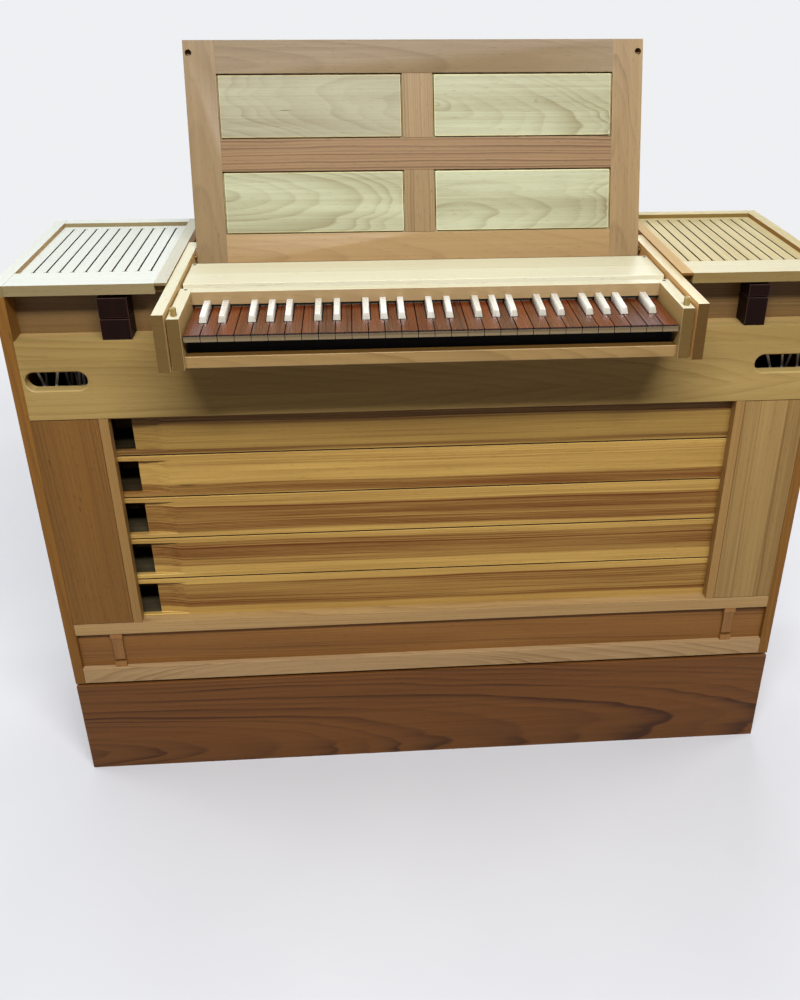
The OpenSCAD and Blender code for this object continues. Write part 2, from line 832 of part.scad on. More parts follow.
plinth_front();
plinth_back();
plinth_side(-1);  // plinth_left
plinth_side(1);  // plinth_right
plinth_floor();
plinth_top();
case_floor();
case_side(-1);  // side_left
case_side(1);  // side_right
back_frame();
back_panels();
bottom_rail();
recess_panel();
recess_catches();
recess_rail();
pipe_shelf();
stile(-1);  // stile_left
stile(1);  // stile_right
stile_strips();
fascia();
chest_board();
pipe(1);  // pipe_1
pipe(2);  // pipe_2
pipe(3);  // pipe_3
pipe(4);  // pipe_4
pipe(5);  // pipe_5
pipe_rack();
tubes(-1);  // tubes_left
tubes(1);  // tubes_right
niche_back(-1);  // niche_back_left
niche_back(1);  // niche_back_right
partition(-1);  // partition_left
partition(1);  // partition_right
centre_cover();
grille_frame(-1);  // grille_frame_left
grille_frame(1);  // grille_frame_right
grille(-1);  // grille_left
grille(1);  // grille_right
bracket(-1);  // bracket_left
bracket(1);  // bracket_right
cheek(-1);  // cheek_left
cheek(1);  // cheek_right
pegs();
key_frame();
key_slip();
naturals();
natural_fronts();
sharp_levers();
sharps();
name_board();
cover_board();
lid_rest();
lid_frame();
lid_panels();
lid_pivots();
stop_left_lower();
stop_left_upper();
stop_right_lower();
stop_right_upper();
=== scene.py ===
"""A chest organ in a plain studio: its woods, eased edges and small fittings.

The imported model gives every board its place. Boards that show get a piece with softened
edges, framed work is cut into its stiles and rails, and each board has its own grain.
Lengths are in metres, X to the right, Y to the back and Z up.
"""

import json
import math

import bpy
from mathutils import Matrix, Vector


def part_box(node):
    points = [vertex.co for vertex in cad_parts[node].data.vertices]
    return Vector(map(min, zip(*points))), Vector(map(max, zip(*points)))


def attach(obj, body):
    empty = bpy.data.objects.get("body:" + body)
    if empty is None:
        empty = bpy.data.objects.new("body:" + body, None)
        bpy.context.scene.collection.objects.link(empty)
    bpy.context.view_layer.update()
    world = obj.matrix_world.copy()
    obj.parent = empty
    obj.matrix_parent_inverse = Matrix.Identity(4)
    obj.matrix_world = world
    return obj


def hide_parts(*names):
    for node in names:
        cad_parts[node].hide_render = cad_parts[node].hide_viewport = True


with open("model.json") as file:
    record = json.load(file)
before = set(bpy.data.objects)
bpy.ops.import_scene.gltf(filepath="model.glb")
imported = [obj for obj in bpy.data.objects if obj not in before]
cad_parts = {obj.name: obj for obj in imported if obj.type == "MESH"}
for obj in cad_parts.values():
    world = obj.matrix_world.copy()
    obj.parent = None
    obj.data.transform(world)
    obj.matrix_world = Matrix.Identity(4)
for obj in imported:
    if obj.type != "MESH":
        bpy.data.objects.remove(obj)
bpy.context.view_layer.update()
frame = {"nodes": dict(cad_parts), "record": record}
record = frame["record"]
body_of = {n: b for b, nodes in record["behaviour"]["bodies"].items() for n in nodes}
slot_of = {s["node"]: s["material_slot"] for s in record["subparts"]}
lid_hinge = next(j for j in record["behaviour"]["joints"] if j["name"] == "lid_hinge")


def low(node):
    return Vector(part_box(node)[0])


def high(node):
    return Vector(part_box(node)[1])


def middle(node):
    return (low(node) + high(node)) / 2


# Sizes of the organ

MM = 0.001
KEY_PITCH = 165 / 7 * MM
PIPE_WALL = 9 * MM
BACK_RAIL = 60 * MM
GRILLE_SIDE = 18.5 * MM
GRILLE_FRONT = 65 * MM
GRILLE_BACK = 23 * MM
NOTCH_DEEP = 12 * MM
NOTCH_LIP = 4 * MM

# The lid: shut it lies level, and it turns about a point up its face and in front of it
LID_W = high("lid_frame").x - low("lid_frame").x
LID_H = 349 * MM
LID_RAIL = 50 * MM
LID_LEAN = math.radians(lid_hinge["range_deg"][1] - 90)
PIVOT_UP = 15 * MM
PIVOT_OFF = 3.3 * MM
LID_FOOT = Vector(lid_hinge["pos_m"]) + Vector((
    0.0,
    PIVOT_OFF * math.cos(LID_LEAN) - PIVOT_UP * math.sin(LID_LEAN),
    -PIVOT_UP * math.cos(LID_LEAN) - PIVOT_OFF * math.sin(LID_LEAN),
))

# Dark lines at the joints
PIPE_GAP = 1.6 * MM
BOARD_GAP = 0.8 * MM

# How much the edges are softened
EASE = 0.8 * MM
PIPE_EASE = 1.3 * MM
FRAME_EASE = 0.6 * MM
PANEL_EASE = 2.2 * MM
SHARP_EASE = 0.7 * MM
METAL_EASE = 0.3 * MM

# Working limits
EDGE_TURN = math.radians(35)  # edges that turn more than this are softened
FLAT_TURN = math.radians(0.5)  # faces that turn less than this are one face
SAME_POINT = 0.02 * MM
FOOT_BAND = 0.1 * MM  # what lies this near a board's underside is part of it
BESIDE = 0.1 * MM  # cuts run just beside an opening, never along its wall


# Making pieces


def deselect():
    bpy.ops.object.select_all(action="DESELECT")


def pick(piece):
    """Selects one piece alone and makes it the active one."""
    deselect()
    piece.select_set(True)
    bpy.context.view_layer.objects.active = piece


def settle(piece):
    """Moves a piece's place, turn and size into its mesh."""
    pick(piece)
    bpy.ops.object.transform_apply(location=True, rotation=True, scale=True)


def turn(piece, move):
    """Moves or turns a piece's mesh."""
    piece.matrix_world = move
    settle(piece)


def soften(piece, width=EASE, segments=2, round_over=20):
    """Takes the sharpness off a piece's edges. Faces that meet at less than round_over
    degrees are shaded as one curve."""
    pick(piece)
    bevel = piece.modifiers.new("soften", "BEVEL")
    bevel.width = width
    bevel.segments = segments
    bevel.limit_method = "ANGLE"
    bevel.angle_limit = EDGE_TURN
    bevel.miter_outer = "MITER_ARC"
    bpy.ops.object.modifier_apply(modifier=bevel.name)
    bpy.ops.object.shade_smooth_by_angle(angle=math.radians(round_over))


def merged_copy(node, name):
    """A copy of a node's own shape, with its points merged."""
    piece = bpy.data.objects.new(name, frame["nodes"][node].data.copy())
    bpy.context.scene.collection.objects.link(piece)
    pick(piece)
    bpy.ops.object.mode_set(mode="EDIT")
    bpy.ops.mesh.select_all(action="SELECT")
    bpy.ops.mesh.remove_doubles(threshold=SAME_POINT)
    bpy.ops.object.mode_set(mode="OBJECT")
    return piece


def make_whole_faces(piece):
    """Joins the triangles of each flat face."""
    pick(piece)
    bpy.ops.object.mode_set(mode="EDIT")
    bpy.ops.mesh.select_all(action="SELECT")
    bpy.ops.mesh.dissolve_limited(angle_limit=FLAT_TURN)
    bpy.ops.object.mode_set(mode="OBJECT")


def corners_of(piece):
    """The lowest and the highest corner of a piece's box."""
    corners = [Vector(corner) for corner in piece.bound_box]
    return corners[0], corners[6]


def block(name, corner_a, corner_b, ease=EASE):
    """A small board between two corners, with its edges softened."""
    corner_a, corner_b = Vector(corner_a), Vector(corner_b)
    deselect()
    bpy.ops.mesh.primitive_cube_add(
        size=1, location=(corner_a + corner_b) / 2, scale=corner_b - corner_a
    )
    piece = bpy.context.object
    piece.name = name
    settle(piece)
    if ease:
        soften(piece, ease)
    return piece


def carve(piece, corner_a, corner_b, way):
    """Cuts a piece with the box between two corners: INTERSECT keeps what lies in the box
    and DIFFERENCE what lies outside. None puts a side of the box clear of the piece."""
    lowest, highest = corners_of(piece)
    corner_a = [lowest[i] - MM if v is None else v for i, v in enumerate(corner_a)]
    corner_b = [highest[i] + MM if v is None else v for i, v in enumerate(corner_b)]
    tool = block("cutter", corner_a, corner_b, 0)
    pick(piece)
    cut = piece.modifiers.new("cut", "BOOLEAN")
    cut.operation = way
    cut.object = tool
    bpy.ops.object.modifier_apply(modifier=cut.name)
    bpy.data.objects.remove(tool)


def lift_foot(piece, height):
    """Raises a piece's underside a little, so that a dark line shows below it."""
    foot = min(point.co.z for point in piece.data.vertices)
    for point in piece.data.vertices:
        if point.co.z < foot + FOOT_BAND:
            point.co.z += height


def finish_piece(piece, body, slot, finish, *nodes):
    """Gives a piece its finish and the body that it rides on, and hides the nodes that it
    stands for.
    """
    piece.data.materials.clear()
    piece.data.materials.append(finish)
    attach(piece, body)
    if nodes:
        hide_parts(*nodes)


def dress(node, finish):
    """Puts a finish on a node itself."""
    frame["nodes"][node].data.materials.clear()
    frame["nodes"][node].data.materials.append(finish)


def ease_node(node, finish, whole=True, lift=0.0, suffix="_eased", **softening):
    """Puts a copy with softened edges in a node's place. whole joins the triangles of its
    faces, and lift is how far its underside rises."""
    dress(node, finish)
    piece = merged_copy(node, node + suffix)
    if whole:
        make_whole_faces(piece)
    if lift:
        lift_foot(piece, lift)
    soften(piece, **softening)
    finish_piece(piece, body_of[node], slot_of[node], finish, node)


# Finishes


def colour(red, green, blue):
    """A colour as it looks on a screen, from 0 to 255 each, turned into light."""
    return tuple(((v / 255 + 0.055) / 1.055) ** 2.4 for v in (red, green, blue)) + (1.0,)


def end_grain_and_light_tint(shade):
    """The tint of a face: darker and warmer for end grain, which takes more oil, and for
    painted shade, and paler for painted highlight. A colour, or how pale the face is.
    """
    if isinstance(shade, tuple):
        return shade + (1.0,)
    return shade, shade ** 1.25, shade ** 1.8, 1.0


class Steps:
    """The steps that work out a colour or a light, in one node tree."""

    def __init__(self, tree):
        self.tree = tree

    def put(self, kind, sockets=(), **settings):
        """Adds a step and sets or links its sockets."""
        made = self.tree.nodes.new("ShaderNode" + kind)
        for key, value in settings.items():
            setattr(made, key, value)
        for key, value in dict(sockets).items():
            self.feed(made, key, value)
        return made

    def feed(self, step, key, value):
        """Links a socket to another step, or sets its value."""
        if isinstance(value, bpy.types.NodeSocket):
            self.tree.links.new(value, step.inputs[key])
        else:
            step.inputs[key].default_value = value

    def calc(self, operation, a, b=0.0, c=0.0):
        return self.put("Math", {0: a, 1: b, 2: c}, operation=operation).outputs[0]

    def vector(self, operation, a, b):
        return self.put("VectorMath", {0: a, 1: b}, operation=operation).outputs[0]

    def add(self, a, b):
        return self.calc("ADD", a, b)

    def times(self, a, b):
        return self.calc("MULTIPLY", a, b)

    def sway(self, noise, reach, value):
        """Moves a value up and down with a noise, by half the reach either way at most."""
        return self.calc("MULTIPLY_ADD", self.add(noise, -0.5), reach, value)

    def ranged(self, value, start, end, to_start=0.0, to_end=1.0, soft=False):
        """Maps start and end to to_start and to_end, and holds what lies beyond them."""
        sockets = {0: value, 1: start, 2: end, 3: to_start, 4: to_end}
        kind = "SMOOTHSTEP" if soft else "LINEAR"
        return self.put("MapRange", sockets, interpolation_type=kind).outputs[0]

    def noise(self, place, scale, detail=2.0, rough=0.5):
        """Noise of about 0 to 1 whose grains are 1/scale long along each axis."""
        scaled = self.vector("MULTIPLY", place, scale)
        sockets = {"Vector": scaled, "Scale": 1.0, "Detail": detail, "Roughness": rough}
        return self.put("TexNoise", sockets).outputs["Fac"]

    def noise_along(self, value, scale):
        sockets = {"W": self.times(value, scale), "Scale": 1.0, "Detail": 1.0}
        return self.put("TexNoise", sockets, noise_dimensions="1D").outputs["Fac"]

    def chance(self, number):
        """A chance number and colour for each whole number."""
        return self.put("TexWhiteNoise", {"W": number}, noise_dimensions="1D").outputs

    def blend(self, share, a, b, way="MIX"):
        mix = self.put("Mix", {0: share, 6: a, 7: b}, data_type="RGBA", blend_type=way)
        return mix.outputs[2]

    def apart(self, vector):
        return self.put("SeparateXYZ", {0: vector}).outputs

    def together(self, x, y, z):
        return self.put("CombineXYZ", {0: x, 1: y, 2: z}).outputs[0]

    def rays_that_see(self):
        """1 for rays from the camera, also by way of gloss and glass, and 0 for the rest."""
        rays = self.put("LightPath").outputs
        seen = rays["Is Camera Ray"]
        for kind in ("Is Glossy Ray", "Is Transmission Ray"):
            seen = self.calc("MAXIMUM", seen, rays[kind])
        return seen


class Finish(Steps):
    """A material and the steps that work out its colour."""

    def __init__(self, name):
        self.material = bpy.data.materials.new(name)
        self.material.use_nodes = True
        super().__init__(self.material.node_tree)
        self.shader = self.tree.nodes["Principled BSDF"]

    def place(self):
        return self.put("TexCoord").outputs["Object"]

    def facing(self):
        return self.put("TexCoord").outputs["Normal"]

    def shade(self, **inputs):
        """Sets the shader's own sockets; an underscore stands for a space."""
        for key, value in inputs.items():
            self.feed(self.shader, key.replace("_", " "), value)

    def bump(self, height, strength, distance):
        sockets = {"Height": height, "Strength": strength, "Distance": distance}
        self.feed(self.shader, "Normal", self.put("Bump", sockets).outputs[0])


# Wood: lays of the grain, as the axes along the grain, across the face and through the board

LYING = "XZY"  # grain along a board of the front
UPRIGHT = "ZXY"  # grain up a board of the front
SIDE = "ZYX"  # grain up a side board
DEEP = "YXZ"  # grain from front to back on top
DEEP_SIDE = "YZX"  # grain from front to back on a side
LEVEL = "XYZ"  # grain along the organ on top

# How fine the wood's noises are, in grains per metre along, across and through
BEND = (1.3, 10.0, 6.0)
RIPPLE = (8.0, 45.0, 45.0)
PATCH = (2.2, 16.0, 16.0)
SLOW = (1.5, 13.0, 13.0)
BRUSH = (2.0, 95.0, 95.0)
STREAK = (4.0, 380.0, 380.0)
PORES = (65.0, 750.0, 750.0)

SEED_STEP = (1.37, 0.73, 0.41)  # how far apart two boards lie in the noises, per seed
STRIP_STEP = (3.0, 1.0, 1.0)  # how far apart the glued strips of a board may lie in them
PITH_SPREAD = 0.16  # how far apart the hearts of the glued strips may lie
STRIP_DRAW = 9.1  # sets the chances of two boards' strips apart, per seed
RING_DRAW = 3.3  # sets the chances of two boards' rings apart, per seed
BEND_REACH = 28 * MM
RIPPLE_REACH = 3 * MM
HEART_REACH = 12 * MM  # how far the border of the heartwood winds
HEART_BORDER = 2 * MM  # half the width of that border
GRAIN_HEIGHT = 0.4 * MM
INSIDE_SHADE = (0.13, 0.17, 0.34)  # the painted shade on the faces inside a box

# How the rings run
WIDTH_CHANGES = 0.16  # how often their width changes, per ring
WIDTH_REACH = 5.0  # how far these changes shift them, in rings
RING_RISE = 2.2  # how late in a ring the wood turns dark
RING_END = 0.9  # where in a ring it is darkest

# How fast the swell round a knot and its dark core die away
KNOT_SWELL = -0.35
KNOT_CORE = -4.0

# How far the rings, the noises and the heartwood move the tone
RING_TONE = 2.0
STREAK_TONE = 2.4
BRUSH_TONE = 2.2
BROAD_TONE = 2.4
HEART_TONE = 0.55
PALE_RINGS = 0.3  # how strongly rings show beside the heartwood

TONE_RANGE = (-0.35, 1.1)  # from all pale to all dark
PORE_RANGE = (0.64, 0.76)  # where a noise turns into pores
EDGE_RANGE = (0.93, 0.97)  # how squarely softened edges and faces look along an axis
SHADE_FADE = 0.13  # the turn over which a face's shade comes in


def board_place(f, home, lean):
    """Where a point lies from the middle of its board, and which way its face looks."""
    place = f.vector("SUBTRACT", f.place(), tuple(home))
    facing = f.facing()
    if lean:
        rotation = {"Rotation": (lean, 0, 0)}
        place = f.put("Mapping", {"Vector": place, **rotation}).outputs[0]
        facing = f.put("Mapping", {"Vector": facing, **rotation}, vector_type="NORMAL").outputs[0]
    return f.apart(place), f.apart(facing)


def glued_strips(f, across, seed, strip, strip_tone, seams):
    """What chance gives each glued strip, and how much darker the strip is."""
    number = tone = 0.0
    if strip:
        number = f.calc("FLOOR", f.calc("DIVIDE", across, strip))
    for seam, darker in seams:
        passed = f.calc("GREATER_THAN", across, seam)
        number = f.add(number, passed)
        tone = f.add(tone, f.times(passed, darker))
    drawn = f.chance(f.add(number, seed * STRIP_DRAW))
    if strip:
        tone = f.times(f.add(drawn["Value"], -0.5), 2 * strip_tone)
    return drawn, tone


def bend_round_knots(f, along, across, radius, knots):
    """Pushes the rings aside at each knot, and tells how dark its core is."""
    dark = 0.0
    for knot_along, knot_across, length, height, push, darkness in knots:
        u = f.calc("DIVIDE", f.add(along, -knot_along), length)
        v = f.calc("DIVIDE", f.add(across, -knot_across), height)
        away = f.add(f.times(u, u), f.times(v, v))
        swell = f.calc("EXPONENT", f.times(away, KNOT_SWELL))
        radius = f.calc("MULTIPLY_ADD", swell, push, radius)
        core = f.times(f.calc("EXPONENT", f.times(away, KNOT_CORE)), darkness)
        dark = f.add(dark, core)
    return radius, dark


def late_wood(f, radius, cloud, ring, seed):
    """The dark part of each ring. Rings are of uneven width and strength, darken slowly
    outwards, end sharply and fade in patches."""
    uneven = f.noise_along(radius, WIDTH_CHANGES / ring)
    turns = f.calc("MULTIPLY_ADD", uneven, WIDTH_REACH, f.calc("DIVIDE", radius, ring))
    cycle = f.calc("FRACT", turns)
    drawn = f.chance(f.add(f.calc("FLOOR", turns), seed * RING_DRAW))["Value"]
    strength = f.ranged(drawn, 0.0, 1.0, 0.15, 1.0)
    late = f.times(f.calc("POWER", cycle, RING_RISE), f.ranged(cycle, RING_END, 1.0, 1.0, 0.0))
    patch = f.ranged(f.noise(cloud, PATCH, 1.0), 0.32, 0.62, 0.3, 1.0)
    return f.times(f.times(late, strength), patch)


def heartwood(f, across, bend, hearts):
    """1 in the bands of heartwood and 0 beside them, with winding borders."""
    heart = 0.0
    wavy = f.sway(bend, HEART_REACH, across)
    for start, end in hearts:
        rise = f.ranged(wavy, start - HEART_BORDER, start + HEART_BORDER, soft=True)
        fall = f.ranged(wavy, end - HEART_BORDER, end + HEART_BORDER, 1.0, 0.0, soft=True)
        heart = f.calc("MAXIMUM", heart, f.times(rise, fall))
    return heart


def box_tint(f, across, through, hollow, tint):
    """The tint of a box's upper and lower faces: the given one outside, painted shade inside,
    and plain in the thickness of the front wall."""
    outside = f.calc("GREATER_THAN", f.calc("ABSOLUTE", across), hollow[0])
    inside = f.calc("LESS_THAN", f.calc("ABSOLUTE", through), hollow[1])
    return f.blend(outside, f.blend(inside, end_grain_and_light_tint(1.0), end_grain_and_light_tint(INSIDE_SHADE)), tint)


def wood(
    name,
    tones,
    home,
    lay=LYING,
    seed=0.0,
    lean=0.0,
    pith=(0.22, 0.03),
    slant=(0.01, 0.05),
    ring=0.005,
    figure=0.5,
    wander=1.0,
    fibre=0.3,
    broad=0.3,
    flecks=0.3,
    seams=(),
    strip=0.0,
    strip_tone=0.3,
    hearts=(),
    knots=(),
    shades=(0.6, 1.0, 1.0),
    reach=0.8,
    hollow=(),
    edge=1.0,
    rough=0.4,
    shine=0.22,
    coat=0.0,
):
    """Wood, cut from a log whose rings show on every face.

    tones are the pale and the dark colour. home is the middle of the board, lay the lay of
    its grain, and seed what sets it apart from the rest. lean is how far it leans back. pith
    is how far the log's heart lies off that middle, across and through, and slant how fast it
    runs off along the grain: a heart close behind the face gives arches, one far to the side
    gives straight lines. ring is the width of a growth ring, figure how strongly the rings
    show and wander how much they wind. fibre, broad and flecks are how strong the fine
    streaks, the broad clouds and the pores are. seams are the joints of glued strips, each
    with its place and how much darker the wood is from there on. strip is the width of even
    strips, and strip_tone how much they differ. hearts are bands of darker heartwood, and
    knots are (along, across, length, height, push of the rings, darkness). shades is how pale
    the ends, the edges and the faces are against the colour, or which tint they take, in the
    order of the lay: darker end grain, and painted shade on faces that look away from the
    lamps or into gaps, slots and boxes, with painted highlight above 1. reach is how squarely
    a face must look that way to be shaded so. hollow is how far from the middle the walls of a
    box start, across and through; the faces inside, behind the front wall, take a painted
    shade. edge is how pale the softened edges are: painted highlight above 1 and dark joints
    below it. rough, shine and coat are the surface's own.
    """
    f = Finish(name)
    parts, faces = board_place(f, home, lean)
    along, across, through = (parts[axis] for axis in lay)
    shift = tuple(seed * step for step in SEED_STEP)
    cloud = f.vector("ADD", f.together(along, across, through), shift)

    # Each glued strip comes from another part of the log
    tone = 0.0
    pith_across, pith_deep = pith
    if strip or seams:
        drawn, tone = glued_strips(f, across, seed, strip, strip_tone, seams)
        cloud = f.vector("ADD", cloud, f.vector("MULTIPLY", drawn["Color"], STRIP_STEP))
        pith_across = f.calc(
            "MULTIPLY_ADD", drawn["Value"], PITH_SPREAD, pith_across - PITH_SPREAD / 2
        )

    # Distance from the log's heart, bent by the tree's growth
    off_across = f.add(f.calc("MULTIPLY_ADD", along, slant[0], across), pith_across)
    off_deep = f.add(f.calc("MULTIPLY_ADD", along, slant[1], through), pith_deep)
    radius = f.calc("SQRT", f.add(f.times(off_across, off_across), f.times(off_deep, off_deep)))
    bend = f.noise(cloud, BEND, 3.0)
    radius = f.sway(bend, BEND_REACH * wander, radius)
    radius = f.sway(f.noise(cloud, RIPPLE, 1.0), RIPPLE_REACH * wander, radius)
    radius, knot_dark = bend_round_knots(f, along, across, radius, knots)
    late = late_wood(f, radius, cloud, ring, seed)

    # How dark each point is, from the rings, the heartwood and the fibres
    ring_share = RING_TONE * figure
    if hearts:
        heart = heartwood(f, across, bend, hearts)
        ring_share = f.times(f.ranged(heart, 0.0, 1.0, PALE_RINGS, 1.0), ring_share)
        tone = f.calc("MULTIPLY_ADD", heart, HEART_TONE, tone)
    streak = f.noise(cloud, STREAK, 3.0, 0.6)
    share = f.calc("MULTIPLY_ADD", late, ring_share, tone)
    share = f.sway(streak, STREAK_TONE * fibre, share)
    share = f.sway(f.noise(cloud, BRUSH), BRUSH_TONE * fibre, share)
    share = f.sway(f.noise(cloud, SLOW), BROAD_TONE * broad, share)
    pale, dark = (colour(*tone_colour) for tone_colour in tones)
    deepest = tuple(0.3 * v for v in dark[:3]) + (1.0,)
    shown = f.blend(f.ranged(share, *TONE_RANGE), pale, dark)
    if flecks:
        pores = f.noise(cloud, PORES, 1.0)
        shown = f.blend(f.ranged(pores, *PORE_RANGE, 0.0, flecks), shown, deepest)
    if knots:
        shown = f.blend(f.calc("MINIMUM", knot_dark, 0.9), shown, deepest)

    # Each face is tinted by the way it looks: darker and warmer end grain, which takes more oil,
    # and painted shade where a face looks away from the lamps or into a gap, painted highlight
    # above 1
    squarest = 0.0
    for axis, shade in zip(lay, shades):
        turned = f.calc("ABSOLUTE", faces[axis])
        squarest = f.calc("MAXIMUM", squarest, turned)
        if shade != 1:
            tint = end_grain_and_light_tint(shade)
            if hollow and axis == lay[1]:
                tint = box_tint(f, across, through, hollow, tint)
            shaded = f.ranged(turned, reach, reach + SHADE_FADE)
            shown = f.blend(shaded, shown, tint, "MULTIPLY")
    # Painted highlight on the softened edges where edge is above 1, dark joints where it is below
    if edge != 1:
        softened = f.ranged(squarest, *EDGE_RANGE, 1.0, 0.0)
        shown = f.blend(softened, shown, end_grain_and_light_tint(edge), "MULTIPLY")
    f.shade(
        Base_Color=shown,
        Roughness=f.ranged(streak, 0.3, 0.7, rough - 0.05, rough + 0.07),
        Specular_IOR_Level=shine,
        Coat_Weight=coat,
        Coat_Roughness=0.2,
    )
    f.bump(f.calc("MULTIPLY_ADD", streak, 0.7, late), 0.12, GRAIN_HEIGHT)
    return f.material


# Bone, metal and cloth

SPECK_HEIGHT = 0.2 * MM


def mottled(
    name, pale, dark, rough=0.5, metal=0.0, scale=300.0, coat=0.0, cell=0.0, front=1.0
):
    """A finish with fine mottling. scale is how fine it is, in specks per metre, cell the
    width of repeated pieces, each a little lighter or darker than the next, and front the
    painted shade on the faces towards the player: how pale they are."""
    f = Finish(name)
    place = f.place()
    speck = f.noise(place, (scale, scale, scale), 4.0)
    slow = f.noise(place, (18.0, 18.0, 18.0), 1.0)
    share = f.calc("MULTIPLY_ADD", slow, 0.6, f.times(speck, 0.6))
    if cell:
        number = f.calc("FLOOR", f.calc("DIVIDE", f.apart(place)[0], cell))
        share = f.calc("MULTIPLY_ADD", f.chance(number)["Value"], 0.7, f.add(share, -0.35))
    shown = f.blend(f.ranged(share, 0.35, 0.85), colour(*pale), colour(*dark))
    # Painted shade on the faces towards the player, below the lit tops
    if front != 1:
        to_player = f.ranged(f.apart(f.facing())[1], -0.55, -0.75)
        shown = f.blend(to_player, shown, end_grain_and_light_tint(front), "MULTIPLY")
    f.shade(
        Base_Color=shown,
        Roughness=f.ranged(speck, 0.3, 0.7, rough - 0.06, rough + 0.06),
        Metallic=metal,
        Coat_Weight=coat,
    )
    f.bump(speck, 0.1, SPECK_HEIGHT)
    return f.material


# The camera stands where the photographer stood

CAMERA_PLACE = (-0.1022, -1.7240, 1.3910)
YAW, PITCH, ROLL = 0.080, 0.516, 0.004
LENS_MM = 36.72
SENSOR_MM = 36.0
LENS_SHIFT = (-0.0407, 0.0184)


def add_camera():
    ahead = Vector(
        (math.sin(YAW) * math.cos(PITCH), math.cos(YAW) * math.cos(PITCH), -math.sin(PITCH))
    )
    level = Vector((math.cos(YAW), -math.sin(YAW), 0.0))
    rise = level.cross(ahead)
    right = level * math.cos(ROLL) + rise * math.sin(ROLL)
    up = rise * math.cos(ROLL) - level * math.sin(ROLL)
    lens = bpy.data.cameras.new("camera")
    lens.lens = LENS_MM
    lens.sensor_width = SENSOR_MM
    lens.shift_x, lens.shift_y = LENS_SHIFT
    lens.clip_start = 0.05
    lens.clip_end = 60.0
    camera = bpy.data.objects.new("camera", lens)
    aim = Matrix((right, up, -ahead)).transposed().to_4x4()
    camera.matrix_world = Matrix.Translation(CAMERA_PLACE) @ aim
    bpy.context.scene.collection.objects.link(camera)
    bpy.context.scene.camera = camera


# The studio: a pale floor that fades into a pale background, and soft lamps

BACKDROP = (0.86, 0.87, 0.89, 1.0)
AMBIENT = 0.06
AMBIENT_TINT = (0.97, 0.98, 1.0, 1)
FLOOR_SIZE = 30.0
FLOOR_PAINT = ((216, 217, 221), (208, 209, 214))
FLOOR_BOUNCE = (138, 116, 92)  # the colour of the light that it throws back
FADE_START, FADE_END = 1.3, 2.8


def add_floor():
    """A pale floor that passes into the backdrop far out."""
    deselect()
    bpy.ops.mesh.primitive_plane_add(size=FLOOR_SIZE, location=(0, 0, 0))
    floor = bpy.context.object
    floor.name = "floor"
    f = Finish("floor_paint")
    place = f.place()
    seen = f.rays_that_see()
    mottle = f.noise(place, (3.0, 3.0, 3.0), 3.0)
    paint = f.blend(mottle, colour(*FLOOR_PAINT[0]), colour(*FLOOR_PAINT[1]))
    f.shade(Base_Color=f.blend(seen, colour(*FLOOR_BOUNCE), paint), Roughness=0.75)
    distance = f.put("VectorMath", {0: place}, operation="LENGTH").outputs["Value"]
    far = f.times(f.ranged(distance, FADE_START, FADE_END, soft=True), seen)
    glow = f.put("Emission", {"Color": BACKDROP, "Strength": 1.0}).outputs[0]
    mixed = f.put("MixShader", {0: far, 1: f.shader.outputs[0], 2: glow}).outputs[0]
    f.feed(f.tree.nodes["Material Output"], "Surface", mixed)
    floor.data.materials.append(f.material)


def add_world():
    world = bpy.data.worlds.new("studio")
    bpy.context.scene.world = world
    world.use_nodes = True
    s = Steps(world.node_tree)
    ambient = s.tree.nodes["Background"]
    s.feed(ambient, "Color", AMBIENT_TINT)
    s.feed(ambient, "Strength", AMBIENT)
    backdrop = s.put("Background", {"Color": BACKDROP}).outputs[0]
    sockets = {0: s.rays_that_see(), 1: ambient.outputs[0], 2: backdrop}
    s.feed(s.tree.nodes["World Output"], "Surface", s.put("MixShader", sockets).outputs[0])


def add_lamp(name, place, aim, width, depth, power, tint=(1.0, 1.0, 1.0)):
    light = bpy.data.lights.new(name, "AREA")
    light.shape = "RECTANGLE"
    light.size, light.size_y, light.energy = width, depth, power
    light.color = tint
    holder = bpy.data.objects.new(name, light)
    holder.location = place
    holder.rotation_euler = (Vector(aim) - Vector(place)).to_track_quat("-Z", "Y").to_euler()
    bpy.context.scene.collection.objects.link(holder)


def add_lamps():
    add_lamp(
        "front_row", (0.1, -2.4, 3.08), (0.0, -0.2, 0.7), width=2.6, depth=0.4, power=152.0
    )
    add_lamp(
        "window", (-1.2, 0.9, 2.8), (0.0, 0.0, 0.9), width=1.6, depth=1.0, power=16.0,
        tint=(0.90, 0.96, 1.0),
    )
    add_lamp("behind", (0.6, 2.9, 1.1), (0.0, 0.2, 0.5), width=2.4, depth=0.8, power=60.0)
    for name, side in (("left_side", -1), ("right_side", 1)):
        place, aim = (side * 2.9, 0.6, 0.8), (side * 0.6, 0.0, 0.5)
        add_lamp(name, place, aim, width=1.2, depth=0.8, power=30.0)


# Woods, each a pale and a dark tone

TAN = ((176, 148, 96), (126, 96, 50))
FASCIA = ((168, 143, 88), (124, 99, 52))
BROWN = ((134, 92, 38), (80, 50, 16))
REDDISH = ((140, 97, 50), (90, 56, 24))
CATCH = ((160, 116, 68), (112, 74, 38))
RAIL = ((176, 147, 107), (122, 92, 57))
RECESS_RAIL = ((176, 145, 98), (122, 91, 52))
PLINTH = ((116, 74, 35), (62, 34, 14))
INNER = ((116, 90, 54), (74, 53, 30))
STILE_LEFT = ((128, 90, 42), (84, 54, 22))
STILE_RIGHT = ((164, 136, 86), (108, 78, 38))
STRIP = ((160, 126, 76), (112, 80, 40))
CREAM = ((226, 222, 196), (198, 188, 148))
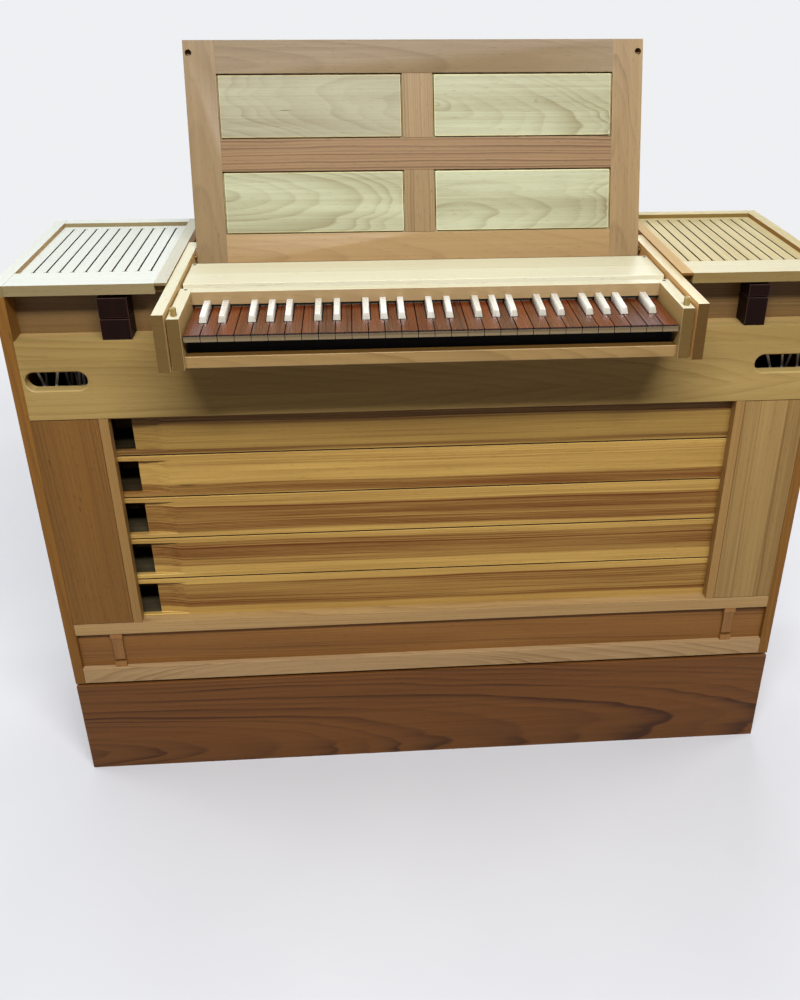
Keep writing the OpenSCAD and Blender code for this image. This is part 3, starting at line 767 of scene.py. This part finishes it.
# The left slatted lid's tones are paler and cooler than the right one's: their wood with a
# painted sheen of the window on the left tops
SHEEN_PALE_LID = ((226, 230, 223), (206, 206, 192))
SHEEN_INNER_PALE = ((210, 208, 192), (186, 182, 160))
WARM_LID = ((212, 198, 150), (176, 156, 106))
WARM_RAIL = ((220, 214, 184), (194, 182, 146))
INNER_WARM = ((198, 164, 106), (168, 130, 76))
BEECH = ((214, 198, 154), (184, 160, 114))
PEG = ((168, 146, 92), (116, 96, 54))
SLIP = ((168, 142, 98), (124, 98, 60))
PINE = ((196, 161, 88), (98, 52, 14))
# Pine with a painted shadow of the keyboard and fascia, for the top pipe
SHADED_PINE = ((164, 133, 70), (80, 42, 12))
DESK = ((153, 127, 88), (108, 82, 48))
# The lid's left stile in painted shade, darker than the rest of the lid
SHADED_DESK = ((141, 117, 81), (100, 76, 46))
STRIPED_DESK = ((151, 120, 82), (100, 71, 42))
# The lid's top rail greyer in painted shade, and its low rail warmer in painted reflected light
SHADED_GREY_DESK = ((135, 115, 84), (101, 80, 52))
REFLECTED_LIGHT_DESK = ((164, 134, 88), (122, 92, 52))
PANEL = ((176, 177, 146), (126, 116, 80))
# The lid's top left panel in painted shade
SHADED_PANEL = ((161, 157, 129), (116, 102, 72))
ROSEWOOD = ((116, 56, 25), (33, 14, 7))
DARK_LEVER = ((40, 22, 15), (18, 10, 8))
MAHOGANY = ((26, 10, 6), (10, 4, 3))
BLACK = ((20, 15, 12), (8, 6, 6))
KEY_FRONT = ((128, 112, 86), (86, 72, 50))

# What several boards share
STRAIGHT = dict(pith=(0.30, 0.01), slant=(0.004, 0.0))
ARCHED = dict(pith=(0.015, 0.05), slant=(0.02, 0.10))
# Cheeks: darker end grain at the front, painted shade on the inner faces, painted highlight on
# the softened edges
CHEEK = dict(
    ring=0.004, figure=0.3, flecks=0.3, shades=(0.17, 1.0, (0.72, 0.52, 0.28)), edge=1.12)
DULL = dict(rough=0.55, shine=0.08)
# Slats: painted shade on the walls of the slots
SLATS = dict(STRAIGHT, shades=(0.12, 0.06, 1.0), **DULL)
CASE_SIDE = dict(ring=0.008, pith=(0.1, 0.05), slant=(0.01, 0.09))
# Stops: a pale painted highlight on their softened edges
STOP = dict(ring=0.004, rough=0.45, shine=0.06, edge=(6.0, 10.0, 12.0))

# Every node that keeps its shape: its tones, the lay of its grain and what is special to it
BOARDS = {
    # A painted highlight on the plinth front's softened edges
    "plinth_front": (PLINTH, LYING, dict(
        pith=(0.06, 0.10), slant=(-0.02, 0.10), ring=0.010, figure=0.95, wander=1.3, edge=1.2)),
    "plinth_back": (PLINTH, LYING, dict(
        pith=(-0.04, 0.08), slant=(0.02, 0.09), ring=0.013, figure=0.7, wander=1.5)),
    "plinth_left": (PLINTH, DEEP_SIDE, dict(pith=(0.05, 0.06), ring=0.012, figure=0.7)),
    "plinth_right": (PLINTH, DEEP_SIDE, dict(pith=(-0.05, 0.06), ring=0.012, figure=0.7)),
    "plinth_floor": (INNER, LEVEL, {}),
    "plinth_top": (PLINTH, LEVEL, {}),
    "case_floor": (INNER, LEVEL, {}),
    "side_left": (BROWN, SIDE, dict(
        CASE_SIDE, seams=((-0.12, -0.12), (-0.03, 0.16), (0.07, -0.1)))),
    "side_right": (BROWN, SIDE, dict(
        CASE_SIDE, seams=((-0.10, 0.14), (0.0, -0.2), (0.09, 0.12)))),
    "bottom_rail": (RAIL, LYING, dict(
        pith=(0.03, 0.03), slant=(0.03, 0.14), ring=0.007, figure=0.7)),
    "recess_panel": (REDDISH, LYING, dict(
        pith=(0.12, 0.02), slant=(0.01, 0.05), figure=0.9, broad=0.6)),
    "recess_catches": (CATCH, UPRIGHT, dict(ring=0.003)),
    "recess_rail": (RECESS_RAIL, LYING, dict(ring=0.004, figure=0.45)),
    "pipe_shelf": (INNER, LEVEL, {}),
    "stile_left": (STILE_LEFT, UPRIGHT, dict(
        edge=0.55, seams=((-0.018, -0.12), (0.02, 0.12)), pith=(0.09, 0.05), slant=(0.012, 0.06),
        ring=0.007, figure=0.4, flecks=0.5, knots=(
            (0.125, -0.036, 0.006, 0.0015, 0.001, 1.0), (0.036, -0.002, 0.01, 0.0012, 0.001, 1.0),
            (-0.12, 0.018, 0.005, 0.001, 0.001, 0.9)))),
    "stile_right": (STILE_RIGHT, UPRIGHT, dict(
        edge=0.55, seams=((-0.060, 0.18), (-0.0285, -0.2), (0.0205, 0.28)), pith=(0.12, 0.04),
        ring=0.006, figure=0.45)),
    "stile_strips": (STRIP, UPRIGHT, dict(STRAIGHT, ring=0.003)),
    # The fascia's faces that look up or down, its ledge and the ovals' walls, take a painted
    # highlight, and so do its softened edges
    "fascia": (FASCIA, LYING, dict(
        seams=((-0.031, 0.12), (0.039, 0.16)), pith=(0.03, 0.09), slant=(0.02, 0.11), ring=0.009,
        figure=0.42, wander=1.6, fibre=0.22, flecks=0.25, shades=(1.0, 1.15, 1.0), edge=1.15)),
    "chest_board": (TAN, LEVEL, {}),
    "pipe_rack": (INNER, UPRIGHT, {}),
    "niche_back_left": (INNER, LYING, dict(ring=0.006)),
    "niche_back_right": (INNER, LYING, dict(ring=0.006)),
    "partition_left": (INNER, DEEP_SIDE, {}),
    "partition_right": (INNER, DEEP_SIDE, {}),
    "centre_cover": (TAN, LEVEL, dict(ARCHED, ring=0.008, strip=0.06)),
    "grille_left": (SHEEN_PALE_LID, DEEP, dict(SLATS, figure=0.25, fibre=0.25)),
    "grille_right": (WARM_LID, DEEP, dict(SLATS, ring=0.004, figure=0.35, fibre=0.4)),
    # The brackets' inner faces take a warm painted light, and the left bracket is cream with a
    # painted sheen of the window on its top, paler than the right
    "bracket_left": (CREAM, DEEP_SIDE, dict(CHEEK, shades=(0.17, 1.0, (0.95, 0.66, 0.38)))),
    "bracket_right": (BEECH, DEEP_SIDE, dict(CHEEK, shades=(0.14, 1.0, (1.1, 0.78, 0.5)))),
    "cheek_left": (CREAM, DEEP_SIDE, CHEEK),
    "cheek_right": (CREAM, DEEP_SIDE, CHEEK),
    # The pegs' sides take a painted shade below their lit tops
    "pegs": (PEG, UPRIGHT, dict(ring=0.002, shades=(1.0, 0.7, 0.7))),
    "key_frame": (BLACK, LEVEL, dict(rough=0.8)),
    # The key slip's ends are darker end grain, its top and underside take a painted shade, its
    # faces a lighter one, and its softened edges a painted highlight
    "key_slip": (SLIP, LYING, dict(
        ARCHED, ring=0.008, figure=0.45, shades=(0.6, 0.3, 0.8), edge=1.35)),
    # Painted shade on the naturals' sides, in the gaps between keys, and on their noses, partly
    # end grain; reach carries it onto the softened edges
    "naturals": (ROSEWOOD, DEEP, dict(
        pith=(0.1, 0.0), slant=(0.03, 0.0), ring=0.0045, figure=0.55, fibre=0.55, broad=0.4,
        strip=KEY_PITCH, strip_tone=0.34, shades=(0.05, 0.06, 1.0), reach=0.5, rough=0.26,
        coat=0.15)),
    # The key fronts are darker in their upper half; their ends, tops and undersides take a
    # painted shade and their softened edges a painted highlight
    "natural_fronts": (KEY_FRONT, LYING, dict(
        seams=((0.0, 0.4),), ring=0.0025, shades=(0.3, 0.4, 1.0), edge=1.5)),
    "sharp_levers": (DARK_LEVER, DEEP, dict(rough=0.6)),
    # The name board's front takes a warm painted shade below its pale top
    "name_board": (CREAM, LYING, dict(
        ARCHED, ring=0.007, figure=0.35, shades=(0.6, 1.0, (0.47, 0.34, 0.23)))),
    "cover_board": (CREAM, LEVEL, dict(
        seams=((-0.004, 0.34),), ring=0.006, pith=(0.05, 0.04), figure=0.3, fibre=0.25)),
    "lid_rest": (INNER, LEVEL, {}),
    "stop_left_lower": (MAHOGANY, UPRIGHT, STOP),
    "stop_left_upper": (MAHOGANY, UPRIGHT, STOP),
    "stop_right_lower": (MAHOGANY, UPRIGHT, STOP),
    "stop_right_upper": (MAHOGANY, UPRIGHT, STOP),
}

# Boards inside the case keep their own edges
INNER_BOARDS = (
    "plinth_floor", "plinth_top", "case_floor", "pipe_shelf", "chest_board", "pipe_rack",
    "niche_back_left", "niche_back_right", "partition_left", "partition_right", "key_frame",
    "recess_panel", "sharp_levers", "lid_rest",
)

# Boards whose edges are softened less or more than the rest
EDGES = {
    "natural_fronts": 0.4 * MM, "grille_left": 0.3 * MM, "grille_right": 0.3 * MM,
    "key_slip": 1.4 * MM, "recess_catches": 0.6 * MM, "fascia": 0.6 * MM, "pegs": 0.4 * MM,
}

# Boards with many slots keep the triangles of their faces
SLOTTED = ("grille_left", "grille_right")

# Boards that have a dark joint under them
LIFTED = (
    "fascia", "stile_left", "stile_right", "bottom_rail", "stop_left_upper",
    "stop_right_upper", "recess_rail",
)


def add_boards():
    for seed, (node, (tones, lay, special)) in enumerate(BOARDS.items(), 1):
        finish = wood(node, tones, middle(node), lay, seed=seed, **special)
        if node in INNER_BOARDS:
            dress(node, finish)
        else:
            ease_node(
                node, finish, whole=node not in SLOTTED,
                lift=BOARD_GAP if node in LIFTED else 0.0, width=EDGES.get(node, EASE),
            )


# Pipes, with bands of heartwood as shares of a pipe's height from the top

PIPE_SEED = 60
PIPE_HEARTS = {
    # The top pipe's upper band is heartwood widened into a painted shadow under the fascia
    "pipe_1": ((-0.1, 0.30), (0.86, 0.96)),
    "pipe_2": ((0.70, 0.97),),
    "pipe_3": ((0.25, 0.88),),
    "pipe_4": ((0.14, 0.70),),
    "pipe_5": ((0.16, 0.76),),
}
# The top pipe takes the pine with the painted shadow
PIPE_TONES = {"pipe_1": SHADED_PINE}
PIPE_KNOTS = {"pipe_2": ((-0.405, -0.018, 0.03, 0.0035, 0.006, 0.8),)}


def add_pipes():
    for seed, (node, hearts) in enumerate(PIPE_HEARTS.items(), PIPE_SEED):
        height = high(node).z - low(node).z
        depth = high(node).y - low(node).y
        # Painted shade on the pipes' upper and lower faces darkens the joints between them, the
        # faces inside the mouths take the box's painted shade, and the softened edges a painted
        # highlight
        finish = wood(
            node, PIPE_TONES.get(node, PINE), middle(node), seed=seed, pith=(0.24, 0.0),
            slant=(0.003, 0.0), ring=0.0027, figure=1.1, wander=0.7, fibre=0.4, broad=0.25,
            hearts=[((0.5 - end) * height, (0.5 - start) * height) for start, end in hearts],
            knots=PIPE_KNOTS.get(node, ()), shades=(0.4, 0.08, 1.0),
            hollow=((height - PIPE_WALL) / 2, depth / 2 - PIPE_WALL), edge=1.45, rough=0.42,
        )
        ease_node(node, finish, lift=PIPE_GAP, width=PIPE_EASE)


# Framed work, cut into its boards

FRAMED_SEED = 80
UNCUT = (None, None, None)


def framed(
    node, tones, cuts, stand=None, lean=0.0, ease=FRAME_EASE, notched=None, notch=(), **special
):
    """Cuts a framed node into boards. cuts gives each board's name, two corners, the lay of
    its grain and what is special to its wood. stand sets a leaning node upright for the cut.
    The notched board loses the box between the notch's two corners."""
    for seed, (name, corner_a, corner_b, lay, own) in enumerate(cuts, FRAMED_SEED):
        piece = merged_copy(node, name)
        if stand:
            turn(piece, stand)
        carve(piece, corner_a, corner_b, "INTERSECT")
        if name == notched:
            carve(piece, *notch, "DIFFERENCE")
        make_whole_faces(piece)
        soften(piece, ease)
        lowest, highest = corners_of(piece)
        home = (lowest + highest) / 2
        if stand:
            turn(piece, stand.inverted())
            home = stand.inverted() @ home
        settings = {"tones": tones, **special, **own}
        finish = wood(name, home=home, lay=lay, seed=seed, lean=lean, **settings)
        if seed == FRAMED_SEED:
            dress(node, finish)
        finish_piece(piece, body_of[node], slot_of[node], finish, node)


# What stands the open lid upright, with its foot's front edge at the origin
LID_STAND = Matrix.Rotation(LID_LEAN, 4, "X") @ Matrix.Translation(-LID_FOOT)


def add_lid_frame():
    inside = LID_W / 2 - LID_RAIL - BESIDE
    half = LID_RAIL / 2 + BESIDE
    foot, top = LID_RAIL + BESIDE, LID_H - LID_RAIL - BESIDE
    under, over = (LID_H - LID_RAIL) / 2 - BESIDE, (LID_H + LID_RAIL) / 2 + BESIDE
    straight = dict(STRAIGHT, ring=0.0045, figure=0.9)
    slow = dict(ARCHED, ring=0.009, figure=0.4)
    striped = dict(STRAIGHT, figure=1.3, tones=STRIPED_DESK)
    stile_left = dict(
        ARCHED, tones=SHADED_DESK, ring=0.01, figure=0.3,
        knots=((-0.125, 0.012, 0.006, 0.001, 0.0, 1.0),),
    )
    cuts = [
        ("lid_stile_left", UNCUT, (-inside, None, None), UPRIGHT, stile_left),
        ("lid_stile_right", (inside, None, None), UNCUT, UPRIGHT, dict(
            ARCHED, ring=0.007, figure=0.45)),
        ("lid_rail_low", (-inside, None, None), (inside, None, foot), LYING, dict(
            slow, tones=REFLECTED_LIGHT_DESK)),
        ("lid_rail_middle", (-inside, None, under), (inside, None, over), LYING, striped),
        ("lid_rail_top", (-inside, None, top), (inside, None, None), LYING, dict(
            slow, tones=SHADED_GREY_DESK)),
        ("lid_mullion_low", (-half, None, foot), (half, None, under), UPRIGHT, straight),
        ("lid_mullion_top", (-half, None, over), (half, None, top), UPRIGHT, straight),
    ]
    framed("lid_frame", DESK, cuts, LID_STAND, LID_LEAN, flecks=0.4, edge=0.6)


def add_lid_panels():
    """The lid's four panels, with wild grain and two small knots."""
    across = LID_H / 2
    cuts = [
        ("lid_panel_low_left", UNCUT, (0, None, across), LYING, dict(
            pith=(0.0, 0.05), slant=(0.1, 0.25))),
        ("lid_panel_low_right", (0, None, None), (None, None, across), LYING, dict(
            pith=(0.01, 0.04), slant=(-0.1, 0.3))),
        ("lid_panel_top_left", (None, None, across), (0, None, None), LYING, dict(
            tones=SHADED_PANEL, pith=(-0.02, 0.06), slant=(0.12, -0.25),
            knots=((-0.042, -0.006, 0.013, 0.0009, 0.0, 1.5),))),
        ("lid_panel_top_right", (0, None, across), UNCUT, LYING, dict(
            pith=(0.02, 0.05), slant=(0.15, 0.3),
            knots=((0.022, 0.006, 0.0016, 0.0016, 0.012, 1.0),))),
    ]
    # Painted shade on the panels' edges, in the gap round them, and a painted highlight on their
    # softened edges
    framed(
        "lid_panels", PANEL, cuts, LID_STAND, LID_LEAN, PANEL_EASE, wander=2.6, ring=0.010,
        fibre=0.4, broad=0.9, shades=(0.12, 0.12, 1.0), edge=(1.6, 1.5, 1.35),
    )


def add_grille_frame(side, tones, inner_tones, front_tones):
    """The frame of a slatted lid, notched under the front end of its inner rail."""
    node = "grille_frame_" + side
    a, b = low(node), high(node)
    west, east = a.x + GRILLE_SIDE + BESIDE, b.x - GRILLE_SIDE - BESIDE
    south, north = a.y + GRILLE_FRONT + BESIDE, b.y - GRILLE_BACK - BESIDE
    # Painted shade on the rails' ends and front and back faces, and a warm painted shade on their
    # side walls, below the lit tops
    outer = dict(
        DULL, ring=0.004, figure=0.3, fibre=0.35, shades=(0.3, (0.5, 0.30, 0.13), 1.0))
    inner = dict(outer, tones=inner_tones)
    cross = dict(outer, shades=(0.5, 0.34, 1.0))
    own_west, own_east = (outer, inner) if side == "left" else (inner, outer)
    cuts = [
        (node + "_west_rail", UNCUT, (west, None, None), DEEP, own_west),
        (node + "_east_rail", (east, None, None), UNCUT, DEEP, own_east),
        (node + "_front_rail", (west, None, None), (east, south, None), LEVEL, dict(
            cross, tones=front_tones)),
        (node + "_back_rail", (west, north, None), (east, None, None), LEVEL, cross),
    ]
    framed(
        node, tones, cuts,
        notched=node + ("_east_rail" if side == "left" else "_west_rail"),
        notch=(UNCUT, (None, a.y + NOTCH_DEEP, b.z - NOTCH_LIP)),
    )


def add_back():
    a, b = low("back_frame"), high("back_frame")
    rail = BACK_RAIL + BESIDE
    west, east, foot, top = a.x + rail, b.x - rail, a.z + rail, b.z - rail
    half = BACK_RAIL / 2 + BESIDE
    cuts = [
        ("back_stile_left", UNCUT, (west, None, None), UPRIGHT, {}),
        ("back_stile_right", (east, None, None), UNCUT, UPRIGHT, {}),
        ("back_rail_low", (west, None, None), (east, None, foot), LYING, {}),
        ("back_rail_top", (west, None, top), (east, None, None), LYING, {}),
        ("back_mullion", (-half, None, foot), (half, None, top), UPRIGHT, {}),
    ]
    framed("back_frame", BROWN, cuts, ring=0.007, pith=(0.1, 0.05), edge=0.6)
    cuts = [
        ("back_panel_left", UNCUT, (0, None, None), UPRIGHT, ARCHED),
        ("back_panel_right", (0, None, None), UNCUT, UPRIGHT, ARCHED),
    ]
    framed("back_panels", TAN, cuts, ring=0.011, strip=0.11, strip_tone=0.12)


# Bone, metal, cloth and screws

TUBE_CELL = 11 * MM  # the wind tubes change shade at this distance

# The felt's place, from the name board's ends and front and from the keys
FELT_SIDE = 0.5 * MM
FELT_OVER_KEYS = 1.2 * MM
FELT_FRONT = 3 * MM
FELT_BACK = 9 * MM

# The screws' heads, and where they sit
SCREW_RADIUS = 2.8 * MM
SCREW_H = 1.0 * MM
SCREW_PROUD = 0.15 * MM
SCREW_RIM = 0.8 * MM
SCREW_SLOPE = 0.3 * MM
SCREW_SUNK = 0.1 * MM
COVER_SCREW_SIDE = 5 * MM
COVER_SCREW_BACK = 7 * MM
CHEEK_SCREW_FRONT = 1 * MM


def add_sharps():
    # The sharps' fronts take a painted shade, darker than their tops
    bone = mottled(
        "bone", (246, 246, 240), (224, 221, 208), rough=0.26, coat=0.4, cell=KEY_PITCH,
        front=(0.52, 0.50, 0.46),
    )
    ease_node("sharps", bone, width=SHARP_EASE, segments=3, round_over=40)


def add_tubes():
    metal = mottled(
        "tube_metal", (250, 250, 252), (176, 176, 182), rough=0.35, metal=0.1, cell=TUBE_CELL
    )
    for node in ("tubes_left", "tubes_right"):
        ease_node(node, metal, suffix="_round", width=METAL_EASE, segments=1, round_over=50)


def add_pivots():
    brass = mottled("pivot_brass", (140, 108, 58), (84, 60, 30), rough=0.45, metal=1.0)
    ease_node("lid_pivots", brass, width=METAL_EASE)


def add_felt():
    """The black strip of felt under the name board, whose black also paints the shade in
    the gap under the board.
    """
    felt = mottled("black_felt", (24, 22, 22), (10, 9, 10), rough=0.95, scale=900.0)
    a, b = low("name_board"), high("name_board")
    strip = block(
        "name_felt",
        (a.x + FELT_SIDE, a.y + FELT_FRONT, high("naturals").z + FELT_OVER_KEYS),
        (b.x - FELT_SIDE, a.y + FELT_BACK, a.z),
    )
    finish_piece(strip, "case", "key_frame_dark", felt)


def add_screw(name, x, y, top, steel):
    """A screw's flat head with a shallow recess, a little proud of the face at top."""
    deselect()
    bpy.ops.mesh.primitive_cylinder_add(
        vertices=32, radius=SCREW_RADIUS, depth=SCREW_H,
        location=(x, y, top + SCREW_PROUD - SCREW_H / 2),
    )
    screw = bpy.context.object
    screw.name = name
    settle(screw)
    bpy.ops.object.mode_set(mode="EDIT")
    bpy.ops.mesh.select_all(action="DESELECT")
    bpy.ops.object.mode_set(mode="OBJECT")
    for face in screw.data.polygons:
        face.select = face.normal.z > 0.9
    bpy.ops.object.mode_set(mode="EDIT")
    bpy.ops.mesh.inset(thickness=SCREW_RIM, depth=0.0)
    bpy.ops.mesh.inset(thickness=SCREW_SLOPE, depth=-SCREW_SUNK)
    bpy.ops.object.mode_set(mode="OBJECT")
    finish_piece(screw, "case", "key_frame_dark", steel)


def add_screws():
    """Dark screws at the back corners of the cover board and at the back of the cheeks."""
    steel = mottled("dark_steel", (22, 19, 17), (8, 7, 7), rough=0.6)
    cover = high("cover_board")
    cheek_x = middle("cheek_right").x
    cheek_y = low("fascia").y - CHEEK_SCREW_FRONT
    for side, name in ((-1, "left"), (1, "right")):
        cover_x = side * (cover.x - COVER_SCREW_SIDE)
        add_screw("screw_cover_" + name, cover_x, cover.y - COVER_SCREW_BACK, cover.z, steel)
        add_screw("screw_cheek_" + name, side * cheek_x, cheek_y, cover.z, steel)


add_camera()
add_floor()
add_world()
add_lamps()
view_settings = bpy.context.scene.view_settings
view_settings.view_transform = "Standard"

add_boards()
add_pipes()
add_lid_frame()
add_lid_panels()
add_grille_frame("left", SHEEN_PALE_LID, SHEEN_INNER_PALE, SHEEN_PALE_LID)
add_grille_frame("right", WARM_LID, INNER_WARM, WARM_RAIL)
add_back()
add_sharps()
add_tubes()
add_pivots()
add_felt()
add_screws()
